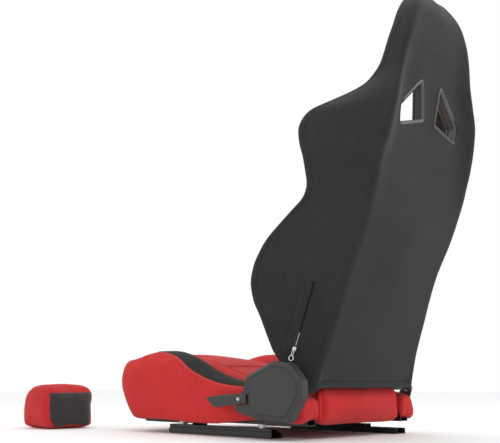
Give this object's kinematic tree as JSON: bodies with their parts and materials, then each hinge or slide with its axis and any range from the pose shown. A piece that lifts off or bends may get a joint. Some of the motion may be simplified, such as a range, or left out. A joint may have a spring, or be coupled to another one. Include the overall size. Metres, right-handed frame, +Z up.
{
  "type": "racing seat",
  "caption": "Reclining bolstered racing seat with harness slots on two slim slider rails, with a loose support pad.",
  "frame": {"origin": "floor plane, midway between the two rails, level with the middle of the left lower rail", "axes": "+Z up, +X to the sitter's left, -Y the way the seat faces"},
  "size_m": [0.599, 1.1703, 1.005],
  "materials": {
    "red_fabric": "woven, fine ribs",
    "black_fabric": "woven",
    "cover_plastic": "satin moulded",
    "trim_plastic": "satin moulded",
    "lever_plastic": "satin moulded",
    "black_steel": "black satin",
    "zinc_steel": "zinc plated",
    "bright_metal": "polished",
    "nylon": "plain",
    "webbing": "woven webbing",
    "hook_fabric": "hook and loop"
  },
  "bodies": {
    "left_lower_rail": {"left_lower_rail": "black_steel"},
    "seat_base": {"left_upper_rail": "black_steel", "right_upper_rail": "black_steel", "rail_glides": "nylon", "rail_spacers": "zinc_steel", "frame_bolts": "zinc_steel", "left_side_member": "black_steel", "right_side_member": "black_steel", "front_cross_tube": "black_steel", "rear_cross_tube": "black_steel", "suspension_straps": "webbing", "release_brackets": "black_steel", "centre_cushion": "red_fabric", "left_bolster": "red_fabric", "right_bolster": "red_fabric", "left_recliner_disc": "zinc_steel", "right_pivot_bush": "zinc_steel", "left_lower_plate": "black_steel", "right_lower_plate": "black_steel", "plate_bolts": "zinc_steel", "left_side_cover": "cover_plastic", "cover_clips": "cover_plastic"},
    "right_lower_rail": {"right_lower_rail": "black_steel"},
    "backrest": {"left_upper_plate": "black_steel", "right_upper_plate": "black_steel", "left_upright": "black_steel", "right_upright": "black_steel", "back_crossbars": "black_steel", "head_bar": "black_steel", "back_core": "black_fabric", "left_hip_wing": "black_fabric", "right_hip_wing": "black_fabric", "left_shoulder_wing": "black_fabric", "right_shoulder_wing": "black_fabric", "harness_panel": "black_fabric", "left_slot_side": "black_fabric", "right_slot_side": "black_fabric", "head_pad": "black_fabric", "left_rear_trim": "trim_plastic", "right_rear_trim": "trim_plastic", "left_front_trim": "trim_plastic", "right_front_trim": "trim_plastic", "zip_track": "black_fabric"},
    "recline_lever": {"lever_arm": "black_steel", "release_rod": "black_steel", "lever_handle": "lever_plastic", "lever_screw": "zinc_steel"},
    "slider_release": {"release_bar": "black_steel", "latch_plates": "black_steel"},
    "zip_slider": {"zip_slider": "bright_metal"},
    "zip_pull": {"zip_pull": "bright_metal"},
    "support_pad": {"support_pad": "red_fabric", "hook_panel": "hook_fabric"}
  },
  "joints": [
    {"name": "seat_slide", "type": "slide", "parent": "left_lower_rail", "child": "seat_base", "axis": [0, -1, 0], "range_m": [-0.118, 0.104]},
    {"name": "right_rail_slide", "type": "slide", "parent": "seat_base", "child": "right_lower_rail", "axis": [0, 1, 0], "range_m": [-0.208, 0.014]},
    {"name": "recline", "type": "hinge", "parent": "seat_base", "child": "backrest", "pos_m": [0, 0.245, 0.112], "axis": [-1, 0, 0], "range_deg": [-40, 22]},
    {"name": "lever_lift", "type": "hinge", "parent": "seat_base", "child": "recline_lever", "pos_m": [0, 0.245, 0.112], "axis": [-1, 0, 0], "range_deg": [0, 12], "stiffness_Nm_per_rad": 2.5, "springref_deg": -8.59},
    {"name": "release_lift", "type": "hinge", "parent": "seat_base", "child": "slider_release", "pos_m": [0, -0.15, 0.027], "axis": [-1, 0, 0], "range_deg": [0, 8], "stiffness_Nm_per_rad": 4, "springref_deg": -8.59},
    {"name": "zip_slide", "type": "slide", "parent": "backrest", "child": "zip_slider", "axis": [-0.0811, 0.3113, 0.9469], "range_m": [0, 0.125]},
    {"name": "zip_pull_swing", "type": "hinge", "parent": "zip_slider", "child": "zip_pull", "pos_m": [0.22084, 0.25262, 0.20189], "axis": [-0.0266, -0.9503, 0.3102], "range_deg": [0, 60]},
    {"name": "pad_lift", "type": "slide", "parent": "left_lower_rail", "child": "support_pad", "axis": [0, 0, 1], "range_m": [0, 0.25]}
  ]
}
